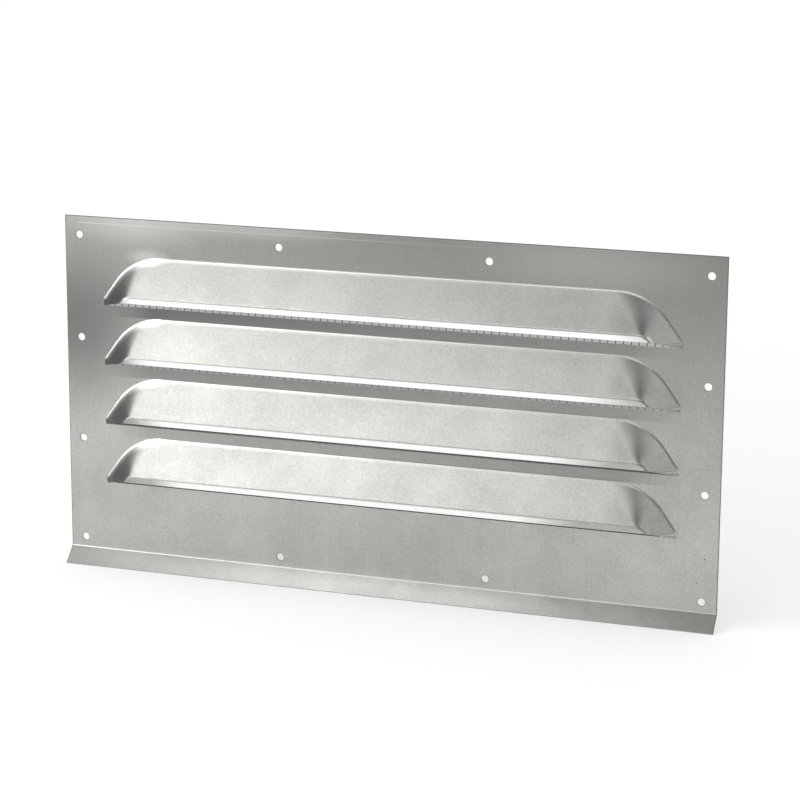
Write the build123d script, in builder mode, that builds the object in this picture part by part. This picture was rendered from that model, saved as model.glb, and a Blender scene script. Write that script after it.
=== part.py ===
"""Louvred ventilation grille: one pressed and folded steel sheet with wire mesh on its back.

Sizes are in millimetres. +X runs along the louvres, +Z is up and the front looks towards -Y. The wall is
at Y = 0, against the sheet's back face, and the origin is the centre of the screw pattern on that face.
"""

import os
from math import cos, radians, sin, tan

from build123d import *

# Sheet
plate_width = 400.0
plate_height = 203.3  # top edge to the fold of the drip flange
sheet = 0.9

# Drip flange, folded out of the sheet's plane along the bottom edge
flange_length = 12.4
flange_angle = 45.0
fold_radius = 0.8  # inside of the bend

# Screw holes around the border
hole_diameter = 4.5
hole_side_inset = 9.1
hole_top_inset = 11.3
hole_fold_inset = 6.2
hole_columns = 4
hole_rows = 4

# Louvre layout
louvre_count = 4
louvre_pitch = 36.3
louvre_top_margin = 22.9  # plate's top edge to the top edge of the first louvre
louvre_side_margin = 24.5  # plate's side to the tip of each louvre

# Louvre shape
louvre_height = 29.9  # top edge to the cut line
louvre_depth = 11.0  # front face of the sheet to the crease
mouth_gap = 4.25  # cut line to the lower edge of the lip
lip_height = 3.5
lip_turn = 10.0  # degrees that the lip leans back towards the sheet
lip_end_inset = 15.4  # tip of the louvre to the end of its lip
end_sweep = 54.0  # slope of the flanks at the louvre's ends
end_radius = 36.0
lip_corner_radius = 5.0
end_step = 2.2  # upright end above the cut line
tip_radius = 3.2
lip_tip_radius = 0.8
root_radius = 2.4  # hollow side of the bend out of the sheet
crease_radius = 2.2  # outside of the bend into the lip

# Wire mesh on the back
wire_diameter = 0.6
wire_sides = 8
mesh_overlap = 7.0  # past the louvres on every side
wire_overhang = 1.2  # cut wire ends past the outermost crossing wire
weld_sink = 0.15  # how far crossing wires sink into each other
mesh_clearance = 0.05
mesh_columns = 17
mesh_rows = 7

# Screw pattern and plate edges, from the pattern's centre
hole_span_x = plate_width - 2 * hole_side_inset
hole_span_z = plate_height - hole_top_inset - hole_fold_inset
hole_pitch_x = hole_span_x / (hole_columns - 1)
hole_pitch_z = hole_span_z / (hole_rows - 1)
plate_top = hole_span_z / 2 + hole_top_inset
fold_level = plate_top - plate_height

# Louvre levels, and the outline of one louvre measured from its top edge
louvre_half = plate_width / 2 - louvre_side_margin
lip_half = louvre_half - lip_end_inset
first_top = plate_top - louvre_top_margin
louvre_tops = [first_top - i * louvre_pitch for i in range(louvre_count)]
cut_level = -louvre_height
crease_level = cut_level + mouth_gap + lip_height
rim = root_radius + sheet


def louvre_outline(plane: Plane, half_length: float, top: float, corner_bend: float, tip_bend: float) -> Sketch:
    """Outline with a straight top, rounded corners, sloping flanks, rounded tips and upright ends."""
    slope = radians(end_sweep)
    flank_drop = top - cut_level - end_step - corner_bend * (1 - cos(slope)) - tip_bend * cos(slope)
    end_run = corner_bend * sin(slope) + flank_drop / tan(slope) + tip_bend * (1 - sin(slope))
    with BuildSketch(plane) as outline:
        with BuildLine():
            ridge = Line((0, top), (half_length - end_run, top))
            corner = JernArc(ridge @ 1, ridge % 1, corner_bend, -end_sweep)
            flank = PolarLine(corner @ 1, flank_drop / sin(slope), direction=corner % 1)
            tip = JernArc(flank @ 1, flank % 1, tip_bend, end_sweep - 90)
            end = Line(tip @ 1, (half_length, cut_level))
            Line(end @ 1, (0, cut_level))
            mirror(about=Plane.YZ)
        make_face()
    return outline.sketch


def press_form(level: float, root_bend: float, crease_bend: float) -> Part:
    """One louvre's pressed shape, solid, on a rim plate whose front face is this far from the wall.

    The shape is flat in front, conical at the corners and flat again at the ends, so that the sheet bends
    but doesn't stretch there. Its underside is level with the cut line.
    """
    base_plane = Plane.XZ.offset(level)
    front_plane = Plane.XZ.offset(level + louvre_depth)
    lip_plane = Plane(
        origin=(0, -level - louvre_depth, crease_level),
        x_dir=(1, 0, 0),
        z_dir=(0, -cos(radians(lip_turn)), -sin(radians(lip_turn))),
    )
    footprint = louvre_outline(base_plane, louvre_half, 0, end_radius, tip_radius)
    lip_outline = louvre_outline(front_plane, lip_half, crease_level, lip_corner_radius, lip_tip_radius)
    with BuildPart() as form:
        loft([footprint, lip_outline], ruled=True)
        split(bisect_by=lip_plane, keep=Keep.BOTTOM)
        lip = form.faces().sort_by(Axis.Y)[0]
        fillet(lip.edges().filter_by(lambda edge: edge.center().Z > cut_level + sheet), crease_bend)
        with BuildSketch(base_plane):
            with Locations((0, cut_level)):
                Rectangle(2 * (louvre_half + rim), louvre_height + rim, align=(Align.CENTER, Align.MIN))
        extrude(amount=-sheet)
        front = form.faces().filter_by(Axis.Y).sort_by(Axis.Y)[0]
        root = front.edges().filter_by(
            lambda edge: cut_level + sheet < edge.center().Z < rim / 2
            and abs(edge.center().X) < louvre_half + rim / 2
        )
        fillet(root, root_bend)
    return form.part


# Outside of a louvre, trimmed along its mouth from the cut line up to the lower edge of the lip
mouth_plane = Plane(
    origin=(0, -sheet, cut_level),
    x_dir=(1, 0, 0),
    z_dir=(0, mouth_gap, louvre_depth),
)
with BuildPart() as hood:
    add(press_form(sheet, root_radius, crease_radius))
    split(bisect_by=mouth_plane, keep=Keep.TOP)

# Hollow behind the hood, open at the mouth and at the back
with BuildPart() as hollow:
    add(press_form(0, root_radius + sheet, crease_radius - sheet))

# Sheet with its folded flange, louvres and screw holes
half_fold = sheet * tan(radians(flange_angle / 2))
fold_corner = Vector(0, fold_level - half_fold)
flange_edge = fold_corner + Vector(0, -flange_length - half_fold).rotate(Axis.Z, -flange_angle)
with BuildPart() as louvred_plate:
    with BuildSketch(Plane.YZ):
        with BuildLine():
            FilletPolyline((0, plate_top), fold_corner, flange_edge, radius=fold_radius + sheet)
            offset(amount=sheet, side=Side.RIGHT)
        make_face()
    extrude(amount=plate_width / 2, both=True)
    with Locations(*[(0, 0, top) for top in louvre_tops]):
        add(hood.part)
        add(hollow.part, mode=Mode.SUBTRACT)
    with Locations(Plane.XZ.offset(sheet)):
        with GridLocations(hole_pitch_x, hole_span_z, hole_columns, 2):
            Hole(hole_diameter / 2, sheet)
        with GridLocations(hole_span_x, hole_pitch_z, 2, hole_rows - 2):
            Hole(hole_diameter / 2, sheet)

# Square wire mesh: upright wires next to the sheet, level wires welded behind them
mesh_half = louvre_half + mesh_overlap
mesh_top = first_top + mesh_overlap
mesh_bottom = louvre_tops[-1] + cut_level - mesh_overlap
upright_layer = mesh_clearance + wire_diameter / 2
level_layer = upright_layer + wire_diameter - weld_sink
upright_plane = Plane((0, upright_layer, mesh_bottom - wire_overhang), x_dir=(1, 0, 0), z_dir=(0, 0, 1))
level_plane = Plane(
    (-mesh_half - wire_overhang, level_layer, (mesh_top + mesh_bottom) / 2),
    x_dir=(0, 0, 1),
    z_dir=(1, 0, 0),
)
with BuildPart() as insect_mesh:
    with BuildSketch(upright_plane):
        with GridLocations(2 * mesh_half / mesh_columns, wire_diameter, mesh_columns + 1, 1):
            RegularPolygon(wire_diameter / 2, wire_sides, major_radius=False, rotation=180 / wire_sides)
    extrude(amount=mesh_top - mesh_bottom + 2 * wire_overhang)
    with BuildSketch(level_plane):
        with GridLocations((mesh_top - mesh_bottom) / mesh_rows, wire_diameter, mesh_rows + 1, 1):
            RegularPolygon(wire_diameter / 2, wire_sides, major_radius=False, rotation=180 / wire_sides)
    extrude(amount=2 * (mesh_half + wire_overhang))

os.makedirs("parts", exist_ok=True)
louvred_plate.part.label = "louvred_plate"
insect_mesh.part.label = "insect_mesh"
export_step(louvred_plate.part, "parts/louvred_plate.step")
export_step(insect_mesh.part, "parts/insect_mesh.step")
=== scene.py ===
"""Louvred ventilation grille: a galvanised sheet with wire mesh behind it, dressed and lit.

All lengths are in metres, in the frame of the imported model: +X runs along the louvres, +Z is up and the
front looks towards -Y.
"""

import logging
import math
from dataclasses import dataclass
from enum import Enum
from functools import reduce

import bmesh
import bpy
from mathutils import Matrix, Vector


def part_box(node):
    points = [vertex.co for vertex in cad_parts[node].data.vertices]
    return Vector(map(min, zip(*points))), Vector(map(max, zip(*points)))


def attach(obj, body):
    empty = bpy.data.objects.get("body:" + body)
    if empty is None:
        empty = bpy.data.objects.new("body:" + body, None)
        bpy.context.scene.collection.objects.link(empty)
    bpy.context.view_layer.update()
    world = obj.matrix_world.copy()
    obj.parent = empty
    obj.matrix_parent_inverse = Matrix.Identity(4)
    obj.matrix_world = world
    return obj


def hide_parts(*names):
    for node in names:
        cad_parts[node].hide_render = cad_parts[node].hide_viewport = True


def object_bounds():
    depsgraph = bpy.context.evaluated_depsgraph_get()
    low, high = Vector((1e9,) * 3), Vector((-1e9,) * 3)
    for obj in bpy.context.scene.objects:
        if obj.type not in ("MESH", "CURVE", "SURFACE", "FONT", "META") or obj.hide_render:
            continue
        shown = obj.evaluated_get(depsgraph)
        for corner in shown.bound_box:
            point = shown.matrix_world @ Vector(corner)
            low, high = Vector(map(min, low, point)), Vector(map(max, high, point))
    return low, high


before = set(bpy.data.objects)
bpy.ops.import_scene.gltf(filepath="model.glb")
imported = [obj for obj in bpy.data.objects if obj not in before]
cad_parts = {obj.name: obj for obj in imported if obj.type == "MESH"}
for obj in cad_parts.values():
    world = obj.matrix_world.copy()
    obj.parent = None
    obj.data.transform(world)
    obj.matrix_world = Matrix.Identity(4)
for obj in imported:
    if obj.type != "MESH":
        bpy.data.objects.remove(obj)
CAD_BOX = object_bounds()

MM = 0.001
BODY = "root"

log = logging.getLogger("grille")

Colour = tuple[float, float, float, float]
Point = tuple[float, float, float]
Socket = bpy.types.NodeSocket
Sockets = bpy.types.NodeOutputs

WHITE: Colour = (1.0, 1.0, 1.0, 1.0)
# Colour of painted highlights and painted reflections on the sheet
PAINTED_HIGHLIGHT: Colour = (0.97, 0.97, 0.94, 1.0)
PALE: Colour = (0.8, 0.806, 0.77, 1.0)
DARKER_TONE: Colour = (0.2, 0.201, 0.193, 1.0)
PITTED: Colour = (0.05, 0.05, 0.05, 1.0)

# Part of a noise texture's values that is stretched to run from 0 to 1
NOISE_LOW, NOISE_HIGH = 0.3, 0.7

# Point in the frame that the camera and the lamps look at
AIM = Vector((11.1, -0.9, 8.84)) * MM


class NodeWriter:
    """Adds nodes to one node tree and wires them together."""

    def __init__(self, tree: bpy.types.NodeTree) -> None:
        """Keeps the tree that the nodes go into."""
        self.tree = tree

    def add(self, kind: str, inputs: dict | None = None, **settings: object) -> bpy.types.Node:
        """Adds one node.

        Args:
            kind: Blender's identifier of the node.
            inputs: Values or output sockets for its inputs, by name or number.
            settings: Properties of the node itself.

        Returns:
            The new node.
        """
        node = self.tree.nodes.new(kind)
        for name, value in settings.items():
            setattr(node, name, value)
        for key, value in (inputs or {}).items():
            if isinstance(value, Socket):
                self.tree.links.new(value, node.inputs[key])
            else:
                node.inputs[key].default_value = value
        return node

    def maths(self, operation: str, *values: object, clamp: bool = False) -> Socket:
        """Works on values or sockets with a Math node, and keeps the result from 0 to 1 where asked."""
        node = self.add("ShaderNodeMath", dict(enumerate(values)), operation=operation, use_clamp=clamp)
        return node.outputs[0]

    def product(self, *values: object) -> Socket:
        """Multiplies values or sockets, two or more."""
        return reduce(lambda first, second: self.maths("MULTIPLY", first, second), values)

    def spread(self, value: Socket, low: float, high: float, to_low: float, to_high: float) -> Socket:
        """Maps a range of values onto another one, clamped.

        Args:
            value: Socket that is mapped.
            low: Start of its range.
            high: End of its range.
            to_low: What the start becomes.
            to_high: What the end becomes.

        Returns:
            The result's socket.
        """
        node = self.add(
            "ShaderNodeMapRange",
            {"Value": value, "From Min": low, "From Max": high, "To Min": to_low, "To Max": to_high},
        )
        return node.outputs["Result"]

    def noise(self, place: Socket, scale: object, detail: float, roughness: float) -> Socket:
        """Adds a noise texture at a place and gives its values."""
        inputs = {"Vector": place, "Scale": scale, "Detail": detail, "Roughness": roughness}
        return self.add("ShaderNodeTexNoise", inputs).outputs["Fac"]

    def mix(self, factor: Socket, first: object, second: object) -> Socket:
        """Mixes two values or sockets by the share of the second."""
        return self.add("ShaderNodeMix", {"Factor": factor, "A": first, "B": second}).outputs["Result"]

    def bell(self, across: Socket, up: Socket, wide: float, high: float) -> Socket:
        """Makes a soft oval spot.

        Args:
            across: Socket with the distance from the spot's middle along X.
            up: Socket with the distance along Z.
            wide: How far the spot reaches along X.
            high: How far it reaches along Z.

        Returns:
            Socket with 1 in the middle, falling to 0 at the oval's edge.
        """
        first = self.maths("POWER", self.maths("DIVIDE", across, wide), 2.0)
        second = self.maths("POWER", self.maths("DIVIDE", up, high), 2.0)
        inside = self.maths("SUBTRACT", 1.0, self.maths("ADD", first, second), clamp=True)
        return self.maths("MULTIPLY", inside, inside)

    def blend(self, factor: Socket, first: object, second: object) -> Socket:
        """Mixes two colours.

        Args:
            factor: Socket with the share of the second colour.
            first: First colour or socket.
            second: Second colour or socket.

        Returns:
            The mixed colour's socket.
        """
        node = self.add("ShaderNodeMix", data_type="RGBA")
        colours = [socket for socket in node.inputs if socket.type == "RGBA"]
        self.tree.links.new(factor, node.inputs["Factor"])
        for socket, value in zip(colours, (first, second)):
            if isinstance(value, Socket):
                self.tree.links.new(value, socket)
            else:
                socket.default_value = value
        return next(socket for socket in node.outputs if socket.type == "RGBA")


def blank_material(name: str) -> tuple[bpy.types.Material, NodeWriter]:
    """Makes a material that has no nodes yet.

    Args:
        name: The material's name.

    Returns:
        The material and a writer on its node tree.
    """
    material = bpy.data.materials.new(name)
    material.use_nodes = True
    material.node_tree.nodes.clear()
    return material, NodeWriter(material.node_tree)


class EffectGroup:
    """A shader node group that several finishes share, made on first use."""

    name = ""
    inputs: dict[str, str] = {}
    outputs: dict[str, str] = {}

    def tree(self) -> bpy.types.NodeTree:
        """Finds or makes the group.

        Returns:
            The group's node tree.
        """
        found = bpy.data.node_groups.get(self.name)
        if found:
            return found
        tree = bpy.data.node_groups.new(self.name, "ShaderNodeTree")
        for label, kind in self.inputs.items():
            tree.interface.new_socket(label, in_out="INPUT", socket_type=kind)
        for label, kind in self.outputs.items():
            tree.interface.new_socket(label, in_out="OUTPUT", socket_type=kind)
        writer = NodeWriter(tree)
        entry = writer.add("NodeGroupInput").outputs
        writer.add("NodeGroupOutput", self.wire(writer, entry))
        return tree

    def wire(self, writer: NodeWriter, entry: Sockets) -> dict[str, Socket]:
        """Fills the group and gives a socket for each output, by name."""
        raise NotImplementedError


class ZincGrain(EffectGroup):
    """Fine speckle of a zinc coating, and the height that goes with it."""

    name = "zinc_grain"
    inputs = {"Vector": "NodeSocketVector", "Fineness": "NodeSocketFloat"}
    outputs = {"Speckle": "NodeSocketFloat", "Height": "NodeSocketFloat"}
    speckle_detail = 3.0
    speckle_roughness = 0.62
    height_fineness = 2.3
    height_detail = 2.0
    height_roughness = 0.5

    def wire(self, writer: NodeWriter, entry: Sockets) -> dict[str, Socket]:
        """Adds two sizes of noise, the finer one for the height.

        Args:
            writer: Writer on the group's tree.
            entry: The group's inputs.

        Returns:
            A socket for each output, by name.
        """
        place, fineness = entry["Vector"], entry["Fineness"]
        coarse = writer.noise(place, fineness, self.speckle_detail, self.speckle_roughness)
        finer = writer.maths("MULTIPLY", fineness, self.height_fineness)
        fine = writer.noise(place, finer, self.height_detail, self.height_roughness)
        return {"Speckle": writer.spread(coarse, NOISE_LOW, NOISE_HIGH, 0.0, 1.0), "Height": fine}


class ZincClouds(EffectGroup):
    """Soft cloudy patches and faint rolling streaks of a galvanised sheet."""

    name = "zinc_clouds"
    inputs = {"Vector": "NodeSocketVector"}
    outputs = {"Clouds": "NodeSocketFloat", "Streaks": "NodeSocketFloat"}
    cloud_scale = 22.0
    cloud_detail = 4.0
    cloud_roughness = 0.66
    streak_stretch = (620.0, 620.0, 11.0)
    streak_detail = 2.0
    streak_roughness = 0.5

    def wire(self, writer: NodeWriter, entry: Sockets) -> dict[str, Socket]:
        """Adds one noise for the patches and one, drawn out upwards, for the streaks.

        Args:
            writer: Writer on the group's tree.
            entry: The group's inputs.

        Returns:
            A socket for each output, by name.
        """
        place = entry["Vector"]
        clouds = writer.noise(place, self.cloud_scale, self.cloud_detail, self.cloud_roughness)
        drawn_out = writer.add("ShaderNodeMapping", {"Vector": place, "Scale": self.streak_stretch})
        streaks = writer.noise(
            drawn_out.outputs["Vector"], 1.0, self.streak_detail, self.streak_roughness
        )
        return {
            "Clouds": writer.spread(clouds, NOISE_LOW, NOISE_HIGH, 0.0, 1.0),
            "Streaks": writer.spread(streaks, NOISE_LOW, NOISE_HIGH, 0.0, 1.0),
        }


@dataclass(frozen=True)
class LouvreRows:
    """Where the louvres lie in the sheet, measured down from the top edge of each."""

    first_top: float = 81.3 * MM
    pitch: float = 36.3 * MM
    crease_drop: float = 22.6 * MM
    cut_drop: float = 29.9 * MM
    lip_half: float = 160.1 * MM
    half: float = 175.5 * MM
    sheet_front: float = 0.95 * MM
    count: int = 4

    @property
    def last_top(self) -> float:
        """Height of the lowest louvre's top edge."""
        return self.first_top - (self.count - 1) * self.pitch

    def drop(self, writer: NodeWriter, height: Socket) -> Socket:
        """Measures how far a height is below the top edge of the louvre in its row."""
        below_first = writer.maths("SUBTRACT", self.first_top, height)
        return writer.maths("FLOORED_MODULO", below_first, self.pitch)

    def from_level(self, writer: NodeWriter, height: Socket, level: float) -> Socket:
        """Measures how far a point is below the nearest place of one level on the louvres.

        Args:
            writer: Writer on the material's tree.
            height: Socket with the point's height.
            level: The place's drop from the top edge of its louvre.

        Returns:
            Socket with the distance, less than 0 above the place.
        """
        half_way_up = self.first_top - level + self.pitch / 2
        lower_down = writer.maths("SUBTRACT", half_way_up, height)
        from_half_way = writer.maths("FLOORED_MODULO", lower_down, self.pitch)
        return writer.maths("SUBTRACT", from_half_way, self.pitch / 2)

    def on_hoods(self, writer: NodeWriter, axes: Sockets) -> Socket:
        """Marks what stands out of the sheet, down to the last cut line.

        Args:
            writer: Writer on the material's tree.
            axes: Sockets with the point's X, Y and Z.

        Returns:
            Socket with 1 on the louvres and 0 on the sheet and its flange.
        """
        lowest = self.last_top - self.cut_drop - self.sheet_front
        over_flange = writer.maths("GREATER_THAN", axes["Z"], lowest)
        return writer.product(over_flange, writer.maths("LESS_THAN", axes["Y"], -self.sheet_front))


@dataclass(frozen=True)
class Mark:
    """A place on the sheet with a tone and gloss of its own; most marks are painted light or shade."""

    colour: Colour
    roughness: float

    def mask(self, writer: NodeWriter, axes: Sockets) -> Socket:
        """Gives 1 on the mark and 0 elsewhere, from the point's X, Y and Z."""
        raise NotImplementedError


@dataclass(frozen=True)
class PaintedLipReflections(Mark):
    """Lips of the louvres with a painted reflection that makes them bright, a shorter way along each lower
    louvre.
    """

    rows: LouvreRows = LouvreRows()
    crease_fade: float = 0.5 * MM
    left_fade: float = 20.0 * MM
    right_fade: float = 35.0 * MM
    right_reach: float = 15.0 * MM
    left_shorter: float = 0.25
    right_shorter: float = 0.5
    depth: float = 10.0 * MM

    def mask(self, writer: NodeWriter, axes: Sockets) -> Socket:
        """Marks what lies below the crease and in front of the sheet.

        Args:
            writer: Writer on the material's tree.
            axes: Sockets with the point's X, Y and Z.

        Returns:
            Socket with 1 on the lips and 0 elsewhere.
        """
        drop = self.rows.drop(writer, axes["Z"])
        crease = self.rows.crease_drop
        below_crease = writer.spread(drop, crease - self.crease_fade, crease + self.crease_fade, 0.0, 1.0)
        in_front = writer.maths("LESS_THAN", axes["Y"], -self.depth)
        end = self.rows.lip_half
        lower_down = writer.maths("SUBTRACT", self.rows.first_top - crease, axes["Z"])
        from_left = writer.maths("MULTIPLY_ADD", lower_down, -self.left_shorter, axes["X"])
        left = writer.spread(from_left, -end - self.left_fade / 2, -end + self.left_fade / 2, 0.0, 1.0)
        from_right = writer.maths("MULTIPLY_ADD", lower_down, self.right_shorter, axes["X"])
        gone_at = end + self.right_reach
        right = writer.spread(from_right, gone_at - self.right_fade, gone_at, 1.0, 0.0)
        return writer.product(below_crease, in_front, left, right)


@dataclass(frozen=True)
class ShearedEdges(Mark):
    """The sheet's cut sides and top edge."""

    half_width: float = 200.0 * MM
    top: float = 104.2 * MM
    skin: float = 0.4 * MM

    def mask(self, writer: NodeWriter, axes: Sockets) -> Socket:
        """Marks the outermost skin of the sides and the top.

        Args:
            writer: Writer on the material's tree.
            axes: Sockets with the point's X, Y and Z.

        Returns:
            Socket with 1 on the edges and 0 elsewhere.
        """
        from_middle = writer.maths("ABSOLUTE", axes["X"])
        side = writer.maths("GREATER_THAN", from_middle, self.half_width - self.skin)
        top = writer.maths("GREATER_THAN", axes["Z"], self.top - self.skin)
        return writer.maths("MAXIMUM", side, top)


@dataclass(frozen=True)
class PaintedHighlightLine(Mark):
    """A fine painted highlight line along the sheet, which fades out towards the right."""

    height: float = 100.2 * MM
    half_width: float = 0.3 * MM
    solid_until: float = -20.0 * MM
    gone_at: float = 90.0 * MM
    start: float = -192.0 * MM
    strength: float = 0.8

    def mask(self, writer: NodeWriter, axes: Sockets) -> Socket:
        """Marks the line.

        Args:
            writer: Writer on the material's tree.
            axes: Sockets with the point's X, Y and Z.

        Returns:
            Socket with the line's strength on the line and 0 elsewhere.
        """
        away = writer.maths("ABSOLUTE", writer.maths("SUBTRACT", axes["Z"], self.height))
        line = writer.spread(away, 0.0, self.half_width, self.strength, 0.0)
        fade = writer.spread(axes["X"], self.solid_until, self.gone_at, 1.0, 0.0)
        begun = writer.maths("GREATER_THAN", axes["X"], self.start)
        return writer.product(line, fade, begun)


@dataclass(frozen=True)
class Speck(Mark):
    """A small dark pit in the coating."""

    x: float = 0.0
    z: float = 0.0
    radius: float = 0.45 * MM

    def mask(self, writer: NodeWriter, axes: Sockets) -> Socket:
        """Marks the pit.

        Args:
            writer: Writer on the material's tree.
            axes: Sockets with the point's X, Y and Z.

        Returns:
            Socket with 1 in the middle of the pit and 0 outside it.
        """
        across = writer.maths("POWER", writer.maths("SUBTRACT", axes["X"], self.x), 2.0)
        up = writer.maths("POWER", writer.maths("SUBTRACT", axes["Z"], self.z), 2.0)
        away = writer.maths("POWER", writer.maths("ADD", across, up), 0.5)
        return writer.spread(away, self.radius / 2, self.radius, 1.0, 0.0)


@dataclass(frozen=True)
class PaintedShadeStrips(Mark):
    """Strips of sheet between the louvres with painted shade from the louvre above, most of all at the top
    left.
    """

    rows: LouvreRows = LouvreRows()
    edge_fade: float = 1.2 * MM
    end_fade: float = 30.0 * MM
    front_limit: float = 1.0 * MM
    top_left: float = 1.0
    top_right: float = 0.2
    bottom_left: float = 0.2
    bottom_right: float = 0.52

    def mask(self, writer: NodeWriter, axes: Sockets) -> Socket:
        """Marks the strips from each cut line to the next louvre's top edge.

        Args:
            writer: Writer on the material's tree.
            axes: Sockets with the point's X, Y and Z.

        Returns:
            Socket with the strips' strength on the strips and 0 elsewhere.
        """
        rows = self.rows
        drop = rows.drop(writer, axes["Z"])
        below_cut = writer.spread(drop, rows.cut_drop - self.edge_fade, rows.cut_drop, 0.0, 1.0)
        under_first = writer.maths("LESS_THAN", axes["Z"], rows.first_top - rows.cut_drop / 2)
        over_last = writer.maths("GREATER_THAN", axes["Z"], rows.last_top)
        in_sheet = writer.maths("GREATER_THAN", axes["Y"], -self.front_limit)
        from_middle = writer.maths("ABSOLUTE", axes["X"])
        along = writer.spread(from_middle, rows.half - self.end_fade, rows.half + self.edge_fade, 1.0, 0.0)
        first_cut = rows.first_top - rows.cut_drop
        left = writer.spread(axes["Z"], rows.last_top, first_cut, self.bottom_left, self.top_left)
        right = writer.spread(axes["Z"], rows.last_top, first_cut, self.bottom_right, self.top_right)
        strength = writer.mix(writer.spread(axes["X"], -rows.half, rows.half, 0.0, 1.0), left, right)
        return writer.product(below_cut, along, under_first, over_last, in_sheet, strength)


@dataclass(frozen=True)
class TonePatch(Mark):
    """A broad soft patch of the flat sheet that is a little lighter or darker than the rest, in some places a
    painted highlight.
    """

    x: float = 0.0
    z: float = 0.0
    wide: float = 50.0 * MM
    high: float = 50.0 * MM
    strength: float = 0.5
    front_limit: float = 1.4 * MM

    def mask(self, writer: NodeWriter, axes: Sockets) -> Socket:
        """Marks an oval of the sheet, without what stands out further than the limit.

        Args:
            writer: Writer on the material's tree.
            axes: Sockets with the point's X, Y and Z.

        Returns:
            Socket with the patch's strength in the middle, falling to 0 at its edge.
        """
        across = writer.maths("SUBTRACT", axes["X"], self.x)
        up = writer.maths("SUBTRACT", axes["Z"], self.z)
        spot = writer.bell(across, up, self.wide, self.high)
        in_sheet = writer.maths("GREATER_THAN", axes["Y"], -self.front_limit)
        return writer.product(spot, in_sheet, self.strength)


@dataclass(frozen=True)
class HoodSpots(Mark):
    """A soft spot at the same place on each louvre, of painted highlight or painted shade."""

    rows: LouvreRows = LouvreRows()
    x: float = 0.0
    level: float = 0.0
    wide: float = 16.0 * MM
    high: float = 5.0 * MM
    strength: float = 0.8

    def mask(self, writer: NodeWriter, axes: Sockets) -> Socket:
        """Marks the spots.

        Args:
            writer: Writer on the material's tree.
            axes: Sockets with the point's X, Y and Z.

        Returns:
            Socket with the spots' strength in their middles, falling to 0 around them.
        """
        across = writer.maths("SUBTRACT", axes["X"], self.x)
        down = self.rows.from_level(writer, axes["Z"], self.level)
        spot = writer.bell(across, down, self.wide, self.high)
        return writer.product(spot, self.rows.on_hoods(writer, axes), self.strength)


@dataclass(frozen=True)
class LouvreTips(Mark):
    """Short upright ends of the louvres above the cut line, with painted shade, most of all on the left."""

    rows: LouvreRows = LouvreRows()
    height: float = 2.6 * MM
    fade: float = 1.0 * MM
    left_strength: float = 1.0
    right_strength: float = 0.4

    def mask(self, writer: NodeWriter, axes: Sockets) -> Socket:
        """Marks the lowest part of the louvres' ends.

        Args:
            writer: Writer on the material's tree.
            axes: Sockets with the point's X, Y and Z.

        Returns:
            Socket with the tips' strength on the tips and 0 elsewhere.
        """
        rows = self.rows
        start = rows.cut_drop - self.height
        low_down = writer.spread(rows.drop(writer, axes["Z"]), start - self.fade, start, 0.0, 1.0)
        past_lip = writer.maths("GREATER_THAN", writer.maths("ABSOLUTE", axes["X"]), rows.lip_half)
        strength = writer.spread(axes["X"], -rows.half, rows.half, self.left_strength, self.right_strength)
        return writer.product(low_down, past_lip, strength, rows.on_hoods(writer, axes))


@dataclass(frozen=True)
class TipBends(Mark):
    """Narrow bends between the right flanks and the upright ends below them, a little paler: painted light
    over the dark line they reflect.
    """

    rows: LouvreRows = LouvreRows()
    end_height: float = 2.2 * MM
    foot_reach: float = 1.9 * MM
    lip_reach: float = 0.5 * MM
    depth: float = 11.9 * MM
    fade: float = 0.3 * MM

    def mask(self, writer: NodeWriter, axes: Sockets) -> Socket:
        """Marks a strip that narrows from the sheet to the lip.

        Args:
            writer: Writer on the material's tree.
            axes: Sockets with the point's X, Y and Z.

        Returns:
            Socket with 1 on the bends and 0 elsewhere.
        """
        rows = self.rows
        drop = rows.drop(writer, axes["Z"])
        end_top = rows.cut_drop - self.end_height
        reach = writer.spread(axes["Y"], -self.depth, -rows.sheet_front, self.lip_reach, self.foot_reach)
        under_flank = writer.spread(writer.maths("ADD", drop, reach), end_top - self.fade, end_top, 0.0, 1.0)
        over_end = writer.spread(drop, end_top, end_top + self.fade, 1.0, 0.0)
        past_lip = writer.maths("GREATER_THAN", axes["X"], rows.lip_half)
        return writer.product(under_flank, over_end, past_lip, rows.on_hoods(writer, axes))


@dataclass(frozen=True)
class FlankRoots(Mark):
    """Bends at the foot of the louvres, with a painted highlight at the left flanks and a little along the
    top.
    """

    rows: LouvreRows = LouvreRows()
    right_limit: float = -138.0 * MM
    side_fade: float = 8.0 * MM
    solid_depth: float = 1.5 * MM
    gone_depth: float = 3.5 * MM
    tip_clearance: float = 4.0 * MM
    top_strength: float = 0.7
    top_depth: float = 1.9 * MM
    top_end: float = 150.0 * MM

    def mask(self, writer: NodeWriter, axes: Sockets) -> Socket:
        """Marks the part of the bends next to the sheet.

        Args:
            writer: Writer on the material's tree.
            axes: Sockets with the point's X, Y and Z.

        Returns:
            Socket with 1 at the foot of the left flanks, falling to 0 further up and to the right.
        """
        rows = self.rows
        near_sheet = writer.spread(axes["Y"], -self.gone_depth, -self.solid_depth, 0.0, 1.0)
        limit = self.right_limit
        on_left = writer.spread(axes["X"], limit - self.side_fade, limit, 1.0, 0.0)
        on_top = writer.spread(axes["X"], limit, self.top_end, self.top_strength, 0.0)
        top_line = writer.spread(axes["Y"], -self.top_depth, -rows.sheet_front, 0.0, 1.0)
        drop = rows.drop(writer, axes["Z"])
        over_tip = writer.maths("LESS_THAN", drop, rows.cut_drop - self.tip_clearance)
        flank = writer.product(near_sheet, on_left)
        top = writer.product(top_line, on_top)
        bends = writer.maths("MAXIMUM", flank, top)
        return writer.product(bends, over_tip, rows.on_hoods(writer, axes))


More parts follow.
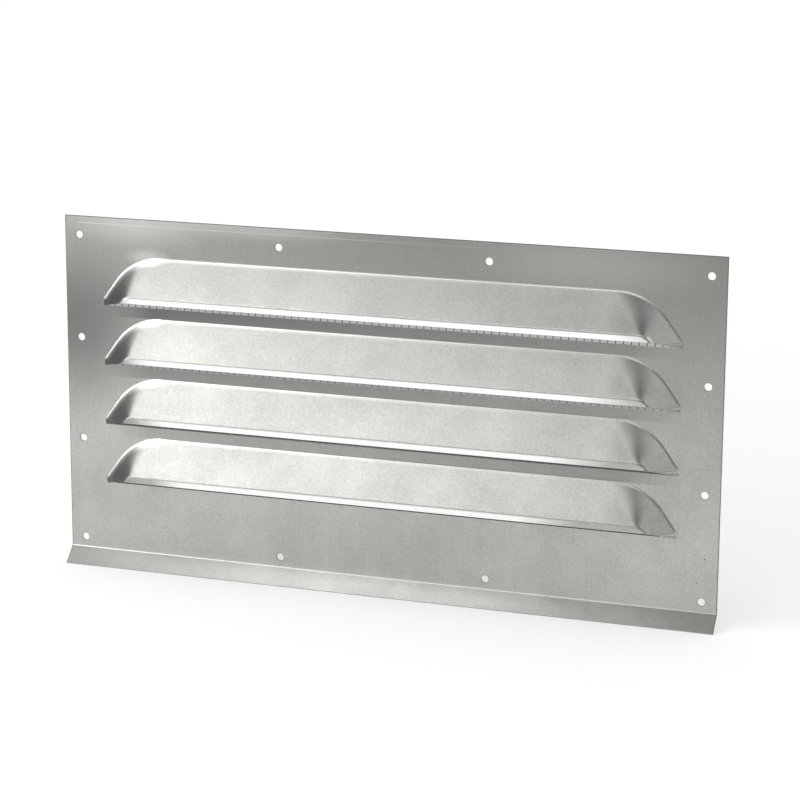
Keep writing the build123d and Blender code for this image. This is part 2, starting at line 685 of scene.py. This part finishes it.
@dataclass(frozen=True)
class HoleRims(Mark):
    """Rims of the screw holes, with painted shade standing in for the edge that the punch rolled over a
    little.
    """

    column_pitch: float = 381.8 * MM / 3
    row_pitch: float = 185.8 * MM / 3
    hole_radius: float = 2.25 * MM
    width: float = 0.55 * MM

    def mask(self, writer: NodeWriter, axes: Sockets) -> Socket:
        """Marks a ring around each hole of the border.

        Args:
            writer: Writer on the material's tree.
            axes: Sockets with the point's X, Y and Z.

        Returns:
            Socket with 1 at the holes' edges and 0 away from them.
        """
        across = self._from_nearest(writer, axes["X"], self.column_pitch)
        up = self._from_nearest(writer, axes["Z"], self.row_pitch)
        away = writer.maths("POWER", writer.maths("ADD", across, up), 0.5)
        ring = writer.spread(away, self.hole_radius, self.hole_radius + self.width, 1.0, 0.0)
        at_side = writer.maths("GREATER_THAN", writer.maths("ABSOLUTE", axes["X"]), self.column_pitch)
        at_end = writer.maths("GREATER_THAN", writer.maths("ABSOLUTE", axes["Z"]), self.row_pitch)
        return writer.product(ring, writer.maths("MAXIMUM", at_side, at_end))

    def _from_nearest(self, writer: NodeWriter, value: Socket, pitch: float) -> Socket:
        """Measures how far a coordinate is from the nearest hole, squared."""
        from_lower = writer.maths("FLOORED_MODULO", value, pitch)
        return writer.maths("POWER", writer.maths("SUBTRACT", from_lower, pitch / 2), 2.0)


@dataclass(frozen=True)
class ZincFinish:
    """A galvanised surface: its two tones, its gloss, the size of its grain and its marks."""

    name: str
    dull: Colour
    bright: Colour
    polished: float
    matt: float
    fineness: float
    grain_height: float
    speckle_share: float = 0.35
    streak_share: float = 0.15
    marks: tuple[Mark, ...] = ()

    def material(self) -> bpy.types.Material:
        """Makes the finish.

        Returns:
            The new material.
        """
        material, writer = blank_material(self.name)
        place = writer.add("ShaderNodeTexCoord").outputs["Object"]
        axes = writer.add("ShaderNodeSeparateXYZ", {"Vector": place}).outputs
        grain = writer.add(
            "ShaderNodeGroup", {"Vector": place, "Fineness": self.fineness}, node_tree=ZincGrain().tree()
        ).outputs
        clouds = writer.add("ShaderNodeGroup", {"Vector": place}, node_tree=ZincClouds().tree()).outputs
        tone = self._tone(writer, grain, clouds)
        colour = writer.blend(tone, self.dull, self.bright)
        roughness = writer.spread(tone, 0.0, 1.0, self.matt, self.polished)
        for mark in self.marks:
            mask = mark.mask(writer, axes)
            colour = writer.blend(mask, colour, mark.colour)
            roughness = writer.mix(mask, roughness, mark.roughness)
        bump = writer.add(
            "ShaderNodeBump", {"Height": grain["Height"], "Distance": self.grain_height, "Strength": 1.0}
        )
        shader = writer.add(
            "ShaderNodeBsdfPrincipled",
            {
                "Base Color": colour,
                "Metallic": 1.0,
                "Roughness": roughness,
                "Normal": bump.outputs["Normal"],
            },
        )
        writer.add("ShaderNodeOutputMaterial", {"Surface": shader.outputs["BSDF"]})
        return material

    def _tone(self, writer: NodeWriter, grain: Sockets, clouds: Sockets) -> Socket:
        """Weighs the speckle, the streaks and the cloudy patches.

        Args:
            writer: Writer on the material's tree.
            grain: Outputs of the grain group.
            clouds: Outputs of the cloud group.

        Returns:
            Socket with a value from 0, dull, to 1, bright.
        """
        cloud_share = 1.0 - self.speckle_share - self.streak_share
        speckle = writer.product(grain["Speckle"], self.speckle_share)
        streaks = writer.product(clouds["Streaks"], self.streak_share)
        patches = writer.product(clouds["Clouds"], cloud_share)
        return writer.maths("ADD", writer.maths("ADD", speckle, streaks), patches, clamp=True)


SHEET_ZINC = ZincFinish(
    name="galvanised_sheet",
    dull=(0.365, 0.368, 0.35, 1.0),
    bright=(0.565, 0.57, 0.541, 1.0),
    polished=0.26,
    matt=0.38,
    fineness=900.0,
    grain_height=0.03 * MM,
    speckle_share=0.55,
    streak_share=0.08,
    marks=(
        # Painted shade on the strips of sheet under each louvre
        PaintedShadeStrips(colour=(0.17, 0.171, 0.164, 1.0), roughness=0.34),
        # Darker left border and lower middle
        TonePatch(
            colour=DARKER_TONE,
            roughness=0.34,
            x=-197.0 * MM,
            z=40.0 * MM,
            wide=70.0 * MM,
            high=65.0 * MM,
            strength=0.9,
        ),
        TonePatch(
            colour=DARKER_TONE,
            roughness=0.34,
            x=5.0 * MM,
            z=-80.0 * MM,
            wide=130.0 * MM,
            high=32.0 * MM,
            strength=0.16,
        ),
        # Paler stretches of the top border
        TonePatch(
            colour=PALE,
            roughness=0.32,
            x=-150.0 * MM,
            z=104.0 * MM,
            wide=60.0 * MM,
            high=20.0 * MM,
            strength=0.7,
        ),
        TonePatch(
            colour=PALE,
            roughness=0.32,
            x=-75.0 * MM,
            z=105.0 * MM,
            wide=75.0 * MM,
            high=12.0 * MM,
            strength=0.6,
        ),
        TonePatch(
            colour=PALE,
            roughness=0.32,
            x=125.0 * MM,
            z=96.0 * MM,
            wide=90.0 * MM,
            high=24.0 * MM,
            strength=0.45,
        ),
        # Painted highlight on the sheet over the first louvre's left corner
        TonePatch(
            colour=PAINTED_HIGHLIGHT,
            roughness=0.3,
            x=-147.0 * MM,
            z=82.0 * MM,
            wide=18.0 * MM,
            high=6.5 * MM,
            strength=0.5,
            front_limit=3.0 * MM,
        ),
        # Painted reflection that makes the flange lighter
        TonePatch(
            colour=PAINTED_HIGHLIGHT,
            roughness=0.32,
            x=-70.0 * MM,
            z=-104.0 * MM,
            wide=230.0 * MM,
            high=10.0 * MM,
            strength=0.19,
            front_limit=12.0 * MM,
        ),
        # Painted highlight at the feet of the left flanks and along the tops
        FlankRoots(colour=PAINTED_HIGHLIGHT, roughness=0.34),
        # Painted shade on the left ends
        HoodSpots(
            colour=(0.15, 0.151, 0.145, 1.0),
            roughness=0.36,
            x=-165.0 * MM,
            level=24.5 * MM,
            wide=19.0 * MM,
            high=13.0 * MM,
            strength=0.5,
        ),
        # Right bends: painted shade in front and painted highlight further up
        HoodSpots(
            colour=(0.18, 0.181, 0.174, 1.0),
            roughness=0.36,
            x=148.0 * MM,
            level=16.0 * MM,
            wide=18.0 * MM,
            high=14.0 * MM,
            strength=0.38,
        ),
        HoodSpots(
            colour=PALE,
            roughness=0.36,
            x=152.0 * MM,
            level=9.0 * MM,
            wide=11.0 * MM,
            high=11.0 * MM,
            strength=0.34,
        ),
        # Painted highlight on the upper left corners
        HoodSpots(colour=PAINTED_HIGHLIGHT, roughness=0.26, x=-147.0 * MM),
        # Painted shade on the lowest part of the louvres' ends
        LouvreTips(colour=(0.14, 0.141, 0.135, 1.0), roughness=0.4),
        # Painted highlight over the dark line on the right tip bends
        TipBends(colour=(0.57, 0.574, 0.549, 1.0), roughness=0.4),
        # Painted reflection that makes the lips bright
        PaintedLipReflections(colour=(0.97, 0.97, 0.95, 1.0), roughness=0.22),
        # Painted shade round the screw holes
        HoleRims(colour=(0.26, 0.262, 0.25, 1.0), roughness=0.4),
        ShearedEdges(colour=(0.2, 0.2, 0.19, 1.0), roughness=0.5),
        # Painted highlight line just below the top edge
        PaintedHighlightLine(colour=PAINTED_HIGHLIGHT, roughness=0.3),
        # Painted highlight along the fold
        PaintedHighlightLine(
            colour=PAINTED_HIGHLIGHT,
            roughness=0.3,
            height=-99.0 * MM,
            half_width=0.65 * MM,
            strength=0.55,
            start=-199.5 * MM,
            solid_until=120.0 * MM,
            gone_at=260.0 * MM,
        ),
        Speck(colour=PITTED, roughness=0.6, x=192.0 * MM, z=-67.8 * MM),
        Speck(colour=PITTED, roughness=0.6, x=188.1 * MM, z=-81.9 * MM),
    ),
)
# Wire tones darker than bare galvanised wire: painted shade for the mesh that lies in the louvres' shadow
WIRE_ZINC = ZincFinish(
    name="galvanised_wire",
    dull=(0.15, 0.152, 0.146, 1.0),
    bright=(0.27, 0.273, 0.262, 1.0),
    polished=0.35,
    matt=0.5,
    fineness=1600.0,
    grain_height=0.01 * MM,
)


@dataclass
class LouvredPlate:
    """The pressed and folded sheet, with its four louvres and the flange along its bottom edge."""

    node: str = "louvred_plate"
    finish: ZincFinish = SHEET_ZINC

    def build(self) -> list[bpy.types.Object]:
        """Dresses the sheet.

        Returns:
            The sheet's object.
        """
        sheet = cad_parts[self.node]
        sheet.data.materials.clear()
        sheet.data.materials.append(self.finish.material())
        return [sheet]


class WireRun(Enum):
    """Which way a wire of the mesh runs."""

    UPRIGHT = "upright"
    LEVEL = "level"


@dataclass
class InsectMesh:
    """The square wire mesh behind the louvres: upright wires next to the sheet, level wires behind them."""

    node: str = "insect_mesh"
    slot: str = "galvanised_wire"
    finish: ZincFinish = WIRE_ZINC
    wire_diameter: float = 0.6 * MM
    wire_sides: int = 8
    overhang: float = 1.2 * MM
    squares_across: int = 81
    squares_down: int = 35

    def build(self) -> list[bpy.types.Object]:
        """Makes all wires as one piece and dresses them.

        Returns:
            The mesh's object.
        """
        bm = bmesh.new()
        for run in WireRun:
            self._add_run(bm, run)
        mesh = bpy.data.meshes.new("wire_mesh")
        bm.to_mesh(mesh)
        bm.free()
        mesh.materials.append(self.finish.material())
        piece = bpy.data.objects.new("wire_mesh", mesh)
        bpy.context.scene.collection.objects.link(piece)
        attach(piece, BODY)
        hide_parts(self.node)
        return [piece]

    def _add_run(self, bm: bmesh.types.BMesh, run: WireRun) -> None:
        """Adds all wires that run one way.

        Args:
            bm: The mesh that takes them.
            run: Which way they run.
        """
        low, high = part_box(self.node)
        middle = (low + high) / 2
        radius = self.wire_diameter / 2
        if run is WireRun.UPRIGHT:
            count, length, layer = self.squares_across, high.z - low.z, low.y + radius
            turn = Matrix.Identity(4)
            first, last = low.x + self.overhang, high.x - self.overhang
        else:
            count, length, layer = self.squares_down, high.x - low.x, high.y - radius
            turn = Matrix.Rotation(math.pi / 2, 4, "Y")
            first, last = low.z + self.overhang, high.z - self.overhang
        for i in range(count + 1):
            across = first + (last - first) * i / count
            if run is WireRun.UPRIGHT:
                centre = Vector((across, layer, middle.z))
            else:
                centre = Vector((middle.x, layer, across))
            self._add_wire(bm, Matrix.Translation(centre) @ turn, length)

    def _add_wire(self, bm: bmesh.types.BMesh, place: Matrix, length: float) -> None:
        """Adds one straight wire.

        Args:
            bm: The mesh that takes it.
            place: Where the wire's middle is, and how it is turned from upright.
            length: Its length.
        """
        made = bmesh.ops.create_cone(
            bm,
            cap_ends=True,
            segments=self.wire_sides,
            radius1=self.wire_diameter / 2,
            radius2=self.wire_diameter / 2,
            depth=length,
            matrix=place,
        )
        for face in {face for vert in made["verts"] for face in vert.link_faces}:
            face.smooth = len(face.verts) < self.wire_sides


def direction(azimuth: float, elevation: float) -> Vector:
    """Gives the unit vector at an azimuth, 0 in front and 90 to the right, and an elevation, in degrees."""
    a, e = math.radians(azimuth), math.radians(elevation)
    return Vector((math.sin(a) * math.cos(e), -math.cos(a) * math.cos(e), math.sin(e)))


@dataclass(frozen=True)
class Softbox:
    """A rectangular soft lamp that looks at the grille."""

    name: str
    azimuth: float
    elevation: float
    distance: float
    width: float
    height: float
    radiance: float

    def place(self, target: Vector) -> None:
        """Sets the lamp up.

        Args:
            target: Point that it looks at.
        """
        lamp = bpy.data.lights.new(self.name, "AREA")
        lamp.shape = "RECTANGLE"
        lamp.size = self.width
        lamp.size_y = self.height
        lamp.energy = self.radiance * math.pi * self.width * self.height
        back = direction(self.azimuth, self.elevation)
        lamp_object = bpy.data.objects.new(self.name, lamp)
        lamp_object.location = target + back * self.distance
        lamp_object.rotation_mode = "QUATERNION"
        lamp_object.rotation_quaternion = (-back).to_track_quat("-Z", "Y")
        lamp_object.visible_camera = False
        bpy.context.scene.collection.objects.link(lamp_object)


LAMPS = (
    Softbox(
        name="key_softbox",
        azimuth=-46.0,
        elevation=20.0,
        distance=1.3,
        width=0.9,
        height=0.95,
        radiance=2.35,
    ),
    Softbox(
        name="wing_softbox",
        azimuth=-8.0,
        elevation=25.0,
        distance=1.4,
        width=0.8,
        height=0.9,
        radiance=1.28,
    ),
    Softbox(
        name="top_softbox",
        azimuth=-68.0,
        elevation=65.0,
        distance=1.1,
        width=0.5,
        height=0.45,
        radiance=2.7,
    ),
    Softbox(
        name="fill_softbox",
        azimuth=52.0,
        elevation=30.0,
        distance=1.5,
        width=1.0,
        height=0.9,
        radiance=0.72,
    ),
)


@dataclass
class Studio:
    """Floor, backdrop, lamps and camera."""

    target: Vector
    floor_level: float
    lamps: tuple[Softbox, ...] = LAMPS
    camera_azimuth: float = 19.361
    camera_elevation: float = 13.118
    camera_roll: float = 0.321
    camera_distance: float = 1.4946
    focal_length: float = 117.03
    sensor_width: float = 36.0
    near_clip: float = 0.05
    far_clip: float = 50.0
    backdrop_glow: float = 1.0
    surround_glow: float = 0.98
    floor_radius: float = 9.0
    floor_sides: int = 96
    floor_front: float = -0.65
    floor_glow: float = 0.315
    far_floor_glow: float = 0.46
    near_floor: float = 0.4
    far_floor: float = 1.3
    floor_paper: Colour = (0.56, 0.56, 0.56, 1.0)
    room_radius: float = 3.0
    room_sides: int = 48
    room_rings: int = 24
    room_back: float = 0.5
    room_glow: float = 0.17
    backing_gap: float = 2.0 * MM
    backing_tint: Colour = (1.0, 1.0, 0.97, 1.0)
    backing_top_glow: float = 0.6
    backing_low_glow: float = 0.02

    def build(self) -> None:
        """Sets up the whole studio."""
        self._colour_management()
        self._world()
        self._floor()
        self._room()
        self._backing()
        for lamp in self.lamps:
            lamp.place(self.target)
        self._camera()

    def _colour_management(self) -> None:
        """Shows colours as they are written."""
        bpy.context.scene.view_settings.view_transform = "Standard"

    def _world(self) -> None:
        """Makes the white backdrop, which the metal shows too, and the light around it."""
        world = bpy.data.worlds.new("backdrop")
        bpy.context.scene.world = world
        world.use_nodes = True
        world.node_tree.nodes.clear()
        writer = NodeWriter(world.node_tree)
        ray = writer.add("ShaderNodeLightPath").outputs
        seen = writer.maths("MAXIMUM", ray["Is Camera Ray"], ray["Is Glossy Ray"])
        seen = writer.maths("MAXIMUM", seen, ray["Is Transmission Ray"])
        strength = writer.spread(seen, 0.0, 1.0, self.surround_glow, self.backdrop_glow)
        glow = writer.add("ShaderNodeBackground", {"Color": WHITE, "Strength": strength})
        writer.add("ShaderNodeOutputWorld", {"Surface": glow.outputs["Background"]})

    def _floor(self) -> None:
        """Makes the white floor, which keeps the grille's shadow."""
        bm = bmesh.new()
        bmesh.ops.create_circle(
            bm,
            cap_ends=True,
            segments=self.floor_sides,
            radius=self.floor_radius,
            matrix=Matrix.Translation((0.0, 0.0, self.floor_level)),
        )
        self._trim(bm, (0.0, self.floor_front, 0.0), (0.0, -1.0, 0.0))
        floor = self._stage_object("studio_floor", bm)
        material, writer = blank_material("white_floor")
        place = writer.add("ShaderNodeTexCoord").outputs["Object"]
        away = writer.add("ShaderNodeVectorMath", {0: place}, operation="LENGTH").outputs["Value"]
        strength = writer.spread(away, self.near_floor, self.far_floor, self.floor_glow, self.far_floor_glow)
        glow = writer.add("ShaderNodeEmission", {"Color": WHITE, "Strength": strength})
        paper = writer.add("ShaderNodeBsdfDiffuse", {"Color": self.floor_paper})
        both = writer.add("ShaderNodeAddShader", {0: glow.outputs["Emission"], 1: paper.outputs["BSDF"]})
        writer.add("ShaderNodeOutputMaterial", {"Surface": both.outputs["Shader"]})
        floor.data.materials.append(material)

    def _room(self) -> None:
        """Makes the dim room in front of the grille, which only its reflections show."""
        bm = bmesh.new()
        bmesh.ops.create_uvsphere(
            bm,
            u_segments=self.room_sides,
            v_segments=self.room_rings,
            radius=self.room_radius,
            matrix=Matrix.Translation((0.0, 0.0, self.floor_level)),
        )
        self._trim(bm, (0.0, self.room_back, 0.0), (0.0, 1.0, 0.0))
        room = self._stage_object("dim_room", bm)
        room.visible_camera = False
        room.visible_diffuse = False
        room.visible_shadow = False
        material, writer = blank_material("dim_cloth")
        glow = writer.add("ShaderNodeEmission", {"Color": WHITE, "Strength": self.room_glow})
        writer.add("ShaderNodeOutputMaterial", {"Surface": glow.outputs["Emission"]})
        room.data.materials.append(material)

    def _backing(self) -> None:
        """Hangs a glowing card behind the mesh, painted shade for what the slits show, darker lower down,
        which shows from the front only.
        """
        low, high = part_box("insect_mesh")
        bm = bmesh.new()
        size = Matrix.Diagonal((high.x - low.x, high.z - low.z, 1.0, 1.0))
        upright = Matrix.Rotation(math.pi / 2, 4, "X")
        middle = Vector(((low.x + high.x) / 2, high.y + self.backing_gap, (low.z + high.z) / 2))
        bmesh.ops.create_grid(
            bm, x_segments=1, y_segments=1, size=0.5, matrix=Matrix.Translation(middle) @ upright @ size
        )
        backing = self._stage_object("painted_shade_card", bm)
        backing.visible_diffuse = False
        backing.visible_glossy = False
        backing.visible_shadow = False
        material, writer = blank_material("painted_shade_card")
        place = writer.add("ShaderNodeTexCoord").outputs["Object"]
        height = writer.add("ShaderNodeSeparateXYZ", {"Vector": place}).outputs["Z"]
        strength = writer.spread(height, low.z, high.z, self.backing_low_glow, self.backing_top_glow)
        grey = writer.add("ShaderNodeEmission", {"Color": self.backing_tint, "Strength": strength})
        clear = writer.add("ShaderNodeBsdfTransparent")
        back = writer.add("ShaderNodeNewGeometry").outputs["Backfacing"]
        shader = writer.add(
            "ShaderNodeMixShader", {0: back, 1: grey.outputs["Emission"], 2: clear.outputs["BSDF"]}
        )
        writer.add("ShaderNodeOutputMaterial", {"Surface": shader.outputs["Shader"]})
        backing.data.materials.append(material)

    def _trim(self, bm: bmesh.types.BMesh, point: Point, normal: Point) -> None:
        """Cuts off what lies beyond a plane, on the side that its normal points to."""
        parts = bm.verts[:] + bm.edges[:] + bm.faces[:]
        bmesh.ops.bisect_plane(bm, geom=parts, plane_co=point, plane_no=normal, clear_outer=True)

    def _stage_object(self, name: str, bm: bmesh.types.BMesh) -> bpy.types.Object:
        """Turns a finished bmesh into an object of the stage.

        Args:
            name: The object's name.
            bm: Its mesh, which is freed.

        Returns:
            The new object.
        """
        mesh = bpy.data.meshes.new(name)
        bm.to_mesh(mesh)
        bm.free()
        stage_object = bpy.data.objects.new(name, mesh)
        bpy.context.scene.collection.objects.link(stage_object)
        return stage_object

    def _camera(self) -> None:
        """Stands the camera where the photograph was taken from."""
        lens = bpy.data.cameras.new("camera")
        lens.sensor_width = self.sensor_width
        lens.lens = self.focal_length
        lens.clip_start = self.near_clip
        lens.clip_end = self.far_clip
        camera = bpy.data.objects.new("camera", lens)
        back = direction(self.camera_azimuth, self.camera_elevation)
        sideways = Vector((0, 0, 1)).cross(back).normalized()
        rise = back.cross(sideways)
        roll = math.radians(self.camera_roll)
        right = sideways * math.cos(roll) + rise * math.sin(roll)
        up = rise * math.cos(roll) - sideways * math.sin(roll)
        turn = Matrix((right, up, back)).transposed().to_4x4()
        camera.matrix_world = Matrix.Translation(self.target + back * self.camera_distance) @ turn
        bpy.context.scene.collection.objects.link(camera)
        bpy.context.scene.camera = camera


def main() -> None:
    """Builds the grille and the studio, and reports each piece."""
    logging.basicConfig(level=logging.INFO, format="%(message)s")
    for assembly in (LouvredPlate(), InsectMesh()):
        for piece in assembly.build():
            log.info("%s: %d faces", piece.name, len(piece.data.polygons))
    Studio(target=AIM, floor_level=CAD_BOX[0].z).build()


if __name__ == "__main__":
    main()
